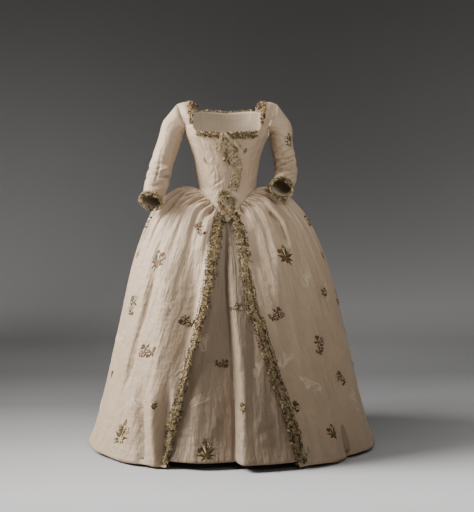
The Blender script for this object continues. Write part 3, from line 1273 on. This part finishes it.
def plume(petal, heart, extra):
    """A self-coloured figure of broad curving blades."""
    rows = [leaf(-24 + 6 * k, -9 + 5 * (k % 3), 96 - 15 * k, 22 - abs(k - 4), 10, petal, 0.8)
            for k in range(9)]
    return rows + [leaf(-26, -12, 12, 50, 8, petal, 0.8), leaf(6, 0, 60, 24, 11, extra, 0.8)]


RUSTY = (RUST, LEAF_YELLOW, CREAM)
ORANGES = (ORANGE, RUST, CREAM)
PINKS = (PINK, CREAM, RUST)
CREAMS = (CREAM, ORANGE, LEAF_YELLOW)
PLUMS = (PLUM, RUST, LEAF_GREEN)
GREENS = (LEAF_GREEN, LEAF_DARK, CREAM)
SELVES = (SELF, SELF, SELF)
DEEP_SELVES = (DEEP_SELF, DEEP_SELF, DEEP_SELF)
PALES = (CREAM, TEAL, TEAL)

# The sprigs in front by panel: place in mm (x, height), figure, colours, turn in degrees and scale.
FRONT_SPRIGS = {
    "gown_skirt_front_right": [
        (-253, -270, posy, ORANGES, -12, 1.15), (-352, -430, spray, GREENS, 50, 1.1),
        (-284, -587, spray, PINKS, -35, 1.15), (-255, -756, sprout, CREAMS, -20, 0.9),
        (-380, -880, posy, CREAMS, 10, 1.3), (-98, -152, spray, RUSTY, 10, 0.85),
        (-142, -480, spray, RUSTY, -20, 0.85), (-432, -700, sprout, PLUMS, 10, 0.9),
        (-245, -345, plume, SELVES, 20, 0.9), (-215, -420, plume, SELVES, 160, 0.7),
        (-330, -760, plume, SELVES, -10, 1), (-300, -905, plume, SELVES, 60, 0.9),
        (-165, -650, plume, SELVES, 100, 0.8), (-390, -560, plume, SELVES, -60, 0.8),
    ],
    "gown_skirt_front_left": [
        (212, -247, posy, RUSTY, 4, 1.12), (176, -458, spray, PINKS, -10, 0.95),
        (359, -395, sprout, CREAMS, 6, 1.2), (337, -574, spray, PINKS, 30, 1.05),
        (240, -768, sprout, RUSTY, -15, 1.25), (422, -703, spray, GREENS, 80, 0.8),
        (378, -871, posy, GREENS, 0, 0.8), (305, -694, plume, SELVES, 150, 1.1),
        (474, -777, plume, SELVES, 90, 1.1), (205, -600, plume, SELVES, 30, 1),
        (290, -340, plume, SELVES, 60, 0.8), (452, -560, spray, CREAMS, 100, 0.9),
    ],
    "petticoat_front": [
        (-76, -912, posy, GREENS, 25, 1.05), (-22, -629, spray, PLUMS, -40, 0.7),
        (50, -771, sprout, RUSTY, 5, 1.1), (34, -420, spray, PALES, -30, 0.75),
        (-82, -560, plume, DEEP_SELVES, 80, 0.8), (-100, -740, plume, DEEP_SELVES, 20, 0.9),
        (110, -640, plume, DEEP_SELVES, 60, 0.8),
    ],
    "sleeve_left": [
        (232, 176, posy, CREAMS, 10, 0.75),
    ],
    "sleeve_right": [
        (-222, 62, posy, ORANGES, -20, 0.85),
    ],
    "bodice_front_right": [
        (-81, 104, sprout, PALES, 0, 0.7),
    ],
    "bodice_front_left": [
        (66, 140, sprout, CREAMS, 20, 0.6),
    ],
}
# The order in which the scattered sprigs follow each other.
FIGURES = [(posy, RUSTY), (spray, PINKS), (sprout, CREAMS), (posy, ORANGES), (plume, SELVES),
           (spray, GREENS), (posy, CREAMS), (sprout, PLUMS), (plume, SELVES), (spray, RUSTY)]
SPRIG_ACROSS, SPRIG_DOWN = 165.0, 150.0
SPRIG_START, SPRIG_STOP, HEM_STOP = 45.0, 30.0, 25.0
SPRIG_SCALE = 1.22


def scattered(cloth, wanted):
    """Half-drop places, SPRIG_ACROSS by SPRIG_DOWN mm apart, where wanted(x, y) holds."""
    columns, rows = cloth.points.shape[:2]
    wide = path_lengths(cloth.points[:, -2])[-1]
    lengths = path_lengths(cloth.points[columns // 2])
    found = []
    for n, drop in enumerate(np.arange(0.4 * SPRIG_DOWN, lengths[-1] - HEM_STOP, SPRIG_DOWN)):
        row = int(round(np.interp(drop, lengths, np.arange(rows))))
        here = path_lengths(cloth.points[:, row])[-1]
        shift = (n % 2) * SPRIG_ACROSS / 2
        across = np.arange(SPRIG_START + shift, wide - SPRIG_STOP, SPRIG_ACROSS)
        for k, place in enumerate(across[across / wide * here > 20]):
            column = place / wide * (columns - 1) + rng.uniform(-0.01, 0.01) * columns
            x, y = cloth.points[int(column), row, :2]
            if here > 0.45 * wide and wanted(x, y):
                figure = FIGURES[(3 * n + 2 * k) % len(FIGURES)]
                found.append((column, row + rng.uniform(-2, 2), *figure,
                              rng.uniform(-25, 25), rng.uniform(0.8, 1.0)))
    return found


def nearest(cloth, x, height):
    """The column and row of the point in front that lies nearest a place seen from the front."""
    grid = cloth.points
    behind = np.where(grid[..., 1] > 30, 1e6, 0)
    miss = (grid[..., 0] - x) ** 2 + (grid[..., 2] - height) ** 2 + behind
    return np.unravel_index(np.argmin(miss), miss.shape)


def weave_sprigs(name, places):
    """All a panel's sprigs as one mesh. A figure is three rows of points, its spine 0.9 mm above
    the cloth and its rims 0.3 mm under it; its half width along it is width c sin(pi t^p)^q."""
    cloth = cloths[name]
    columns, rows = cloth.points.shape[:2]
    spots, tints = [], []
    for column, row, figure, colours, turn, scale in places:
        parts = np.array(figure(*colours), float)
        x, y, angle, length, width, rounded = (parts[:, k, None, None] for k in range(6))
        t = STATIONS[None, None, :]
        side = np.array([-1.0, 0.0, 1.0])[None, :, None]
        along = np.clip(t ** (0.8 + 0.5 * rounded), 0.02, 0.98)
        profile = np.sin(np.pi * along) ** (1 - 0.45 * rounded)
        half = side * profile * width * mix(1.1, 0.66, rounded)
        px = x + np.cos(angle) * t * length - np.sin(angle) * half
        py = y + np.sin(angle) * t * length + np.cos(angle) * half
        spin = math.radians(turn)
        scale = SPRIG_SCALE * scale
        across = scale * (px * math.cos(spin) - py * math.sin(spin))
        up = scale * (px * math.sin(spin) + py * math.cos(spin))
        i = int(np.clip(column, 1, columns - 2))
        j = int(np.clip(row, 1, rows - 2))
        step_u = np.linalg.norm(cloth.points[i + 1, j] - cloth.points[i - 1, j]) / 2
        step_v = np.linalg.norm(cloth.points[i, j + 1] - cloth.points[i, j - 1]) / 2
        order = 0.04 * np.arange(len(parts))[:, None, None]
        lift = (0.9 + order) * (side == 0) - 0.3 * (side != 0) + 0 * px
        spot = np.stack([column + across / step_u, row - up / step_v, lift], axis=-1)
        spots.append(spot.reshape(-1, 3))
        outline = 0.0 if figure is plume else 1.0
        shade = rng.uniform(0.85, 1.15, (len(parts), 1, 1)) * (1 + 0.1 * side)
        shade = shade * mix(1.0, np.where(side == 0, 1.15, 0.75), outline) + 0 * px
        tints.append((shade[..., None] * parts[:, None, None, 6:9]).reshape(-1, 3))
    spots = np.concatenate(spots)
    u = spots[:, 0] % columns if cloth.closed else np.clip(spots[:, 0], 0.3, columns - 1.3)
    v = np.clip(spots[:, 1], 0.3, rows - 1.3)
    points, normals = cloth.place(u, v)
    points = points + spots[:, 2:] * normals
    stops = len(STATIONS)
    k, m = np.meshgrid(np.arange(2), np.arange(stops - 1), indexing="ij")
    corner = (k * stops + m).ravel()
    quads = np.stack([corner, corner + 1, corner + stops + 1, corner + stops], axis=-1)
    firsts = np.arange(0, len(points), 3 * stops)
    faces = (firsts[:, None, None] + quads[None]).reshape(-1, 4)
    flat = points[faces]
    facing_now = np.cross(flat[:, 1] - flat[:, 0], flat[:, 3] - flat[:, 0])
    flip = np.sum(facing_now * normals[faces[:, 0]], axis=-1) < 0
    faces = np.where(flip[:, None], faces[:, ::-1], faces)
    tints = np.clip(np.concatenate(tints), 0, 1)
    mesh_piece(f"{name}_sprigs", points, [faces], FLOSS, tint=tints)


def weave_all():
    """The placed sprigs of each panel, with scattered ones where the front doesn't show it."""
    for name, cloth in cloths.items():
        places = [(*nearest(cloth, x, z), *sprig) for x, z, *sprig in FRONT_SPRIGS.get(name, [])]
        if name.startswith("gown_skirt_front"):
            places += scattered(cloth, lambda x, y: y > -60)
        elif name.startswith(("gown_skirt_back", "petticoat_back", "bodice_side", "bodice_centre")):
            places += scattered(cloth, lambda x, y: True)
        elif name.startswith("petticoat"):
            places += scattered(cloth, lambda x, y: abs(x) > 240)
        elif name.startswith("sleeve"):
            places += scattered(cloth, lambda x, y: y > 0)
        if places:
            weave_sprigs(name, places)


weave_all()

# ------------------------------------------------------------------ room, light and camera
# Tone of the paper by y + z in metres.
PAPER_TONES = [(-2.6, 0.74), (-1.75, 0.66), (-1.35, 0.46), (-0.9, 0.28), (-0.3, 0.16), (0.5, 0.15),
               (1.7, 0.28), (2.4, 0.37), (3.2, 0.35), (4.2, 0.32), (6.0, 0.25)]


def room():
    """A seamless paper sweep: a level floor, a quarter round and an upright back."""
    near, deep, radius, high, half_width = -6000.0, 2600.0, 1500.0, 4200.0, 7000.0
    turn = np.linspace(0, np.pi / 2, 24)
    arc = deep + radius * np.sin(turn)
    y = np.concatenate([[near, -2000, 0, deep - 400], arc, [deep + radius]])
    z = np.concatenate([[0, 0, 0, 0], radius * (1 - np.cos(turn)), [high]]) + FLOOR
    x = np.linspace(-half_width, half_width, 15)
    points = np.stack(np.broadcast_arrays(x[:, None], y[None], z[None]), axis=-1) * 0.001
    columns, rows = points.shape[:2]
    i, j = np.meshgrid(np.arange(columns - 1), np.arange(rows - 1), indexing="ij")
    faces = np.stack([i, i + 1, i + 1, i], axis=-1) * rows + np.stack([j, j, j + 1, j + 1], axis=-1)
    mesh = bpy.data.meshes.new("paper_sweep")
    mesh.from_pydata(points.reshape(-1, 3).tolist(), [], faces.reshape(-1, 4).tolist())
    mesh.polygons.foreach_set("use_smooth", np.full(len(mesh.polygons), True))
    sweep = bpy.data.objects.new("paper_sweep", mesh)
    bpy.context.scene.collection.objects.link(sweep)
    mesh.materials.append(paper_material("graded_paper", PAPER_TONES))
    world = bpy.data.worlds.new("studio")
    world.use_nodes = True
    background = world.node_tree.nodes["Background"].inputs
    background["Color"].default_value = (0.072, 0.069, 0.067, 1)
    background["Strength"].default_value = 1.0
    bpy.context.scene.world = world


# Each round lamp: place and aim in metres, width in metres, power in watts, spread in degrees.
LAMPS = {
    "key": ((-3.35, -0.2, 1.9), (0, 0, 0.3), 2.3, 138, 78),
    "fill": ((1.0, -2.7, 1.6), (0.1, 0, 0.3), 1.3, 5.0, 40),
    "top": ((1.2, -0.2, 3.0), (1.2, -0.2, -1.0), 2.0, 16, 180),
    "floor": ((2.3, 0.2, 2.0), (2.0, 0.1, -0.97), 1.2, 12, 60),
    "backdrop": ((-2.6, 1.3, -0.4), (-1.8, 4.0, -0.9), 1.2, 13, 140),
}


def area_light(name, place, aim, size, power, spread):
    """A round lamp at a place, turned to its aim by yaw and pitch."""
    light = bpy.data.lights.new(name, "AREA")
    light.shape = "DISK"
    light.size = size
    light.spread = math.radians(spread)
    light.energy = power
    lamp = bpy.data.objects.new(name, light)
    bpy.context.scene.collection.objects.link(lamp)
    heading = np.array(aim, float) - np.array(place, float)
    yaw = math.atan2(heading[1], heading[0])
    pitch = math.atan2(heading[2], math.hypot(heading[0], heading[1]))
    lamp.location = place
    lamp.rotation_euler = (math.pi / 2 + pitch, 0, yaw - math.pi / 2)


# The camera: how far in front of the gown and how high above the floor in metres, then its focal
# length, the horizon's row and the gown's middle column in pixels of the frame.
CAMERA_DISTANCE = 4.11
CAMERA_HEIGHT = 1.0
FOCAL_PIXELS = 1083.0
HORIZON_ROW = 180.0
MIDDLE_COLUMN = 227.0
FRAME_WIDTH, FRAME_HEIGHT = 474, 512


def camera():
    """Tilted and turned so that the horizon and the gown's middle lie where they should."""
    view = bpy.data.cameras.new("camera")
    view.lens = FOCAL_PIXELS / FRAME_HEIGHT * view.sensor_width
    stand = bpy.data.objects.new("camera", view)
    bpy.context.scene.collection.objects.link(stand)
    stand.location = (0, -CAMERA_DISTANCE, CAMERA_HEIGHT + FLOOR * 0.001)
    tilt = math.atan((FRAME_HEIGHT / 2 - HORIZON_ROW) / FOCAL_PIXELS)
    yaw = math.atan((FRAME_WIDTH / 2 - MIDDLE_COLUMN) / FOCAL_PIXELS)
    stand.rotation_euler = (math.pi / 2 - tilt, 0, -yaw)
    bpy.context.scene.camera = stand


room()
for name, lamp in LAMPS.items():
    area_light(name, *lamp)
camera()
